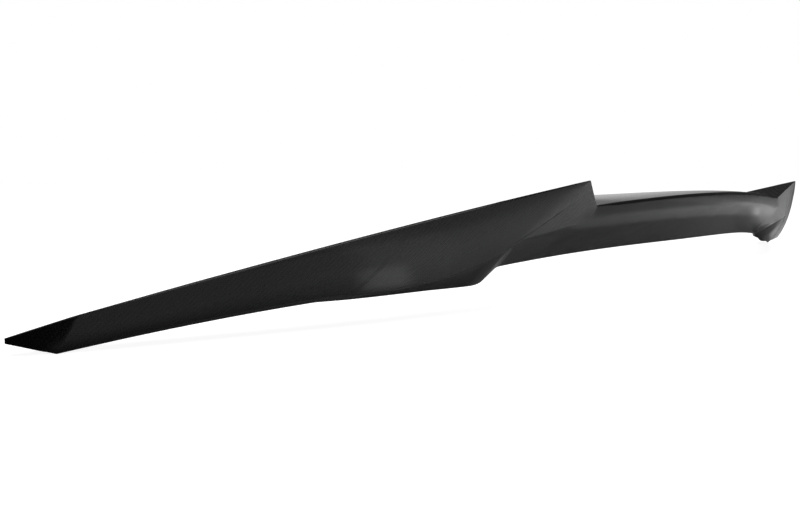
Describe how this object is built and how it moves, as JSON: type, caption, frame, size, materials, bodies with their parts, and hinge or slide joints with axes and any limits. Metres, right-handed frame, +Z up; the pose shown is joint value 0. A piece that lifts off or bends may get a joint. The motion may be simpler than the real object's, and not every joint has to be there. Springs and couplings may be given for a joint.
{
  "type": "car rear spoiler",
  "caption": "Bowed trunk-lid spoiler moulded as an open carbon-fibre shell, with a recessed middle, raised wings, diagonal creases and folded tips.",
  "frame": {"origin": "middle of the deck's leading edge, on the underside that is bonded to the trunk lid", "axes": "+X across the car along the span, +Y towards the front of the car, +Z up"},
  "size_m": [1.2206, 0.1595, 0.0854],
  "materials": {
    "clear_carbon": "carbon-fibre twill under a smooth clear coat"
  },
  "bodies": {
    "root": {"spoiler_shell": "clear_carbon"}
  },
  "joints": []
}
